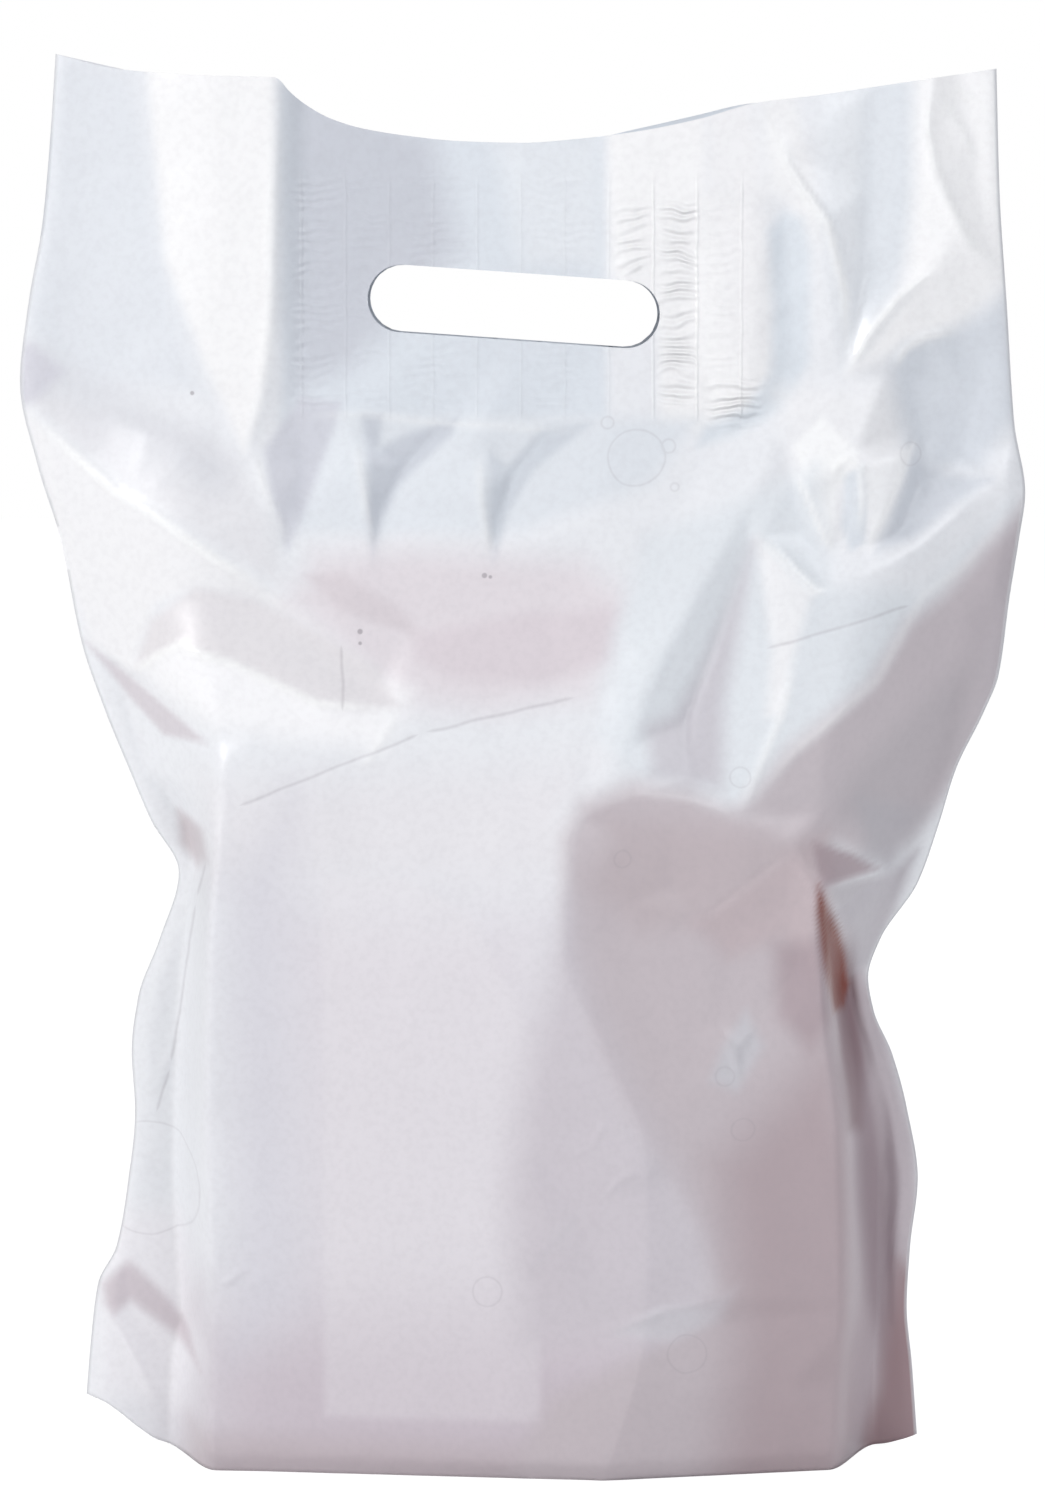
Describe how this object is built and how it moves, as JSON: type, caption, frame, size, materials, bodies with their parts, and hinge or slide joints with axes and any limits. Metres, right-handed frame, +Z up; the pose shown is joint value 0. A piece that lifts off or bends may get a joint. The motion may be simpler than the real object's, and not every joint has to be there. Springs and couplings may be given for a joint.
{
  "type": "plastic carrier bag",
  "caption": "Milky plastic film carrier bag with a punched handle slot and reinforced top, standing open with its lower half filled out.",
  "frame": {"origin": "centre of the bag's own box in X and Y, on the floor under the flat base", "axes": "+Z up to the mouth, +X to the right as seen from the front, front wall facing -Y"},
  "size_m": [0.347, 0.1134, 0.4865],
  "materials": {
    "film": "milky white polyethylene film with a soft gloss",
    "patch": "the same film, doubled and glued, with fine puckers"
  },
  "bodies": {
    "root": {"bag_film": "film", "front_handle_patch": "patch", "back_handle_patch": "patch"}
  },
  "joints": []
}
